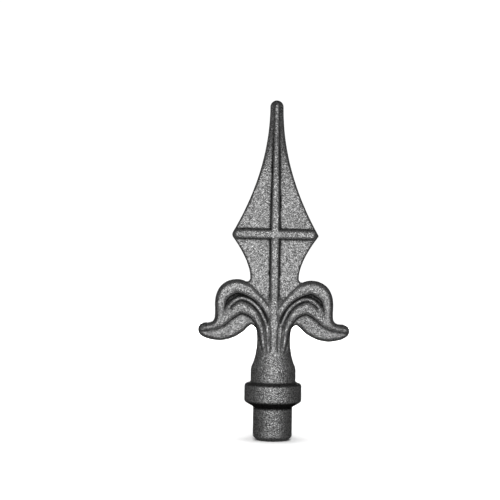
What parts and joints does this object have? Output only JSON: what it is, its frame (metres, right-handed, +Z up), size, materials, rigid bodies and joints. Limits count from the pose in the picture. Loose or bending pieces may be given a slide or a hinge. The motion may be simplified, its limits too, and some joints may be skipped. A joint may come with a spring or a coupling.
{
  "type": "railhead finial",
  "caption": "Cast iron spear-and-leaf railhead finial: a ribbed, waisted spear blade above two scrolled leaves on a turned neck and collar, with a round stub to fix it to a rail bar.",
  "frame": {"origin": "centre of the stub's flat end, where the finial is fixed to its rail bar", "axes": "+Z up along the stub and the blade's middle rib to the tip, X across the blade and leaves, Y through the casting; the front shown in the picture faces -Y"},
  "size_m": [0.0776, 0.0292, 0.1739],
  "materials": {
    "cast_iron": "raw grey casting, fine sand-cast grain, shot-blasted and unpainted"
  },
  "bodies": {
    "root": {"finial": "cast_iron"}
  },
  "joints": []
}
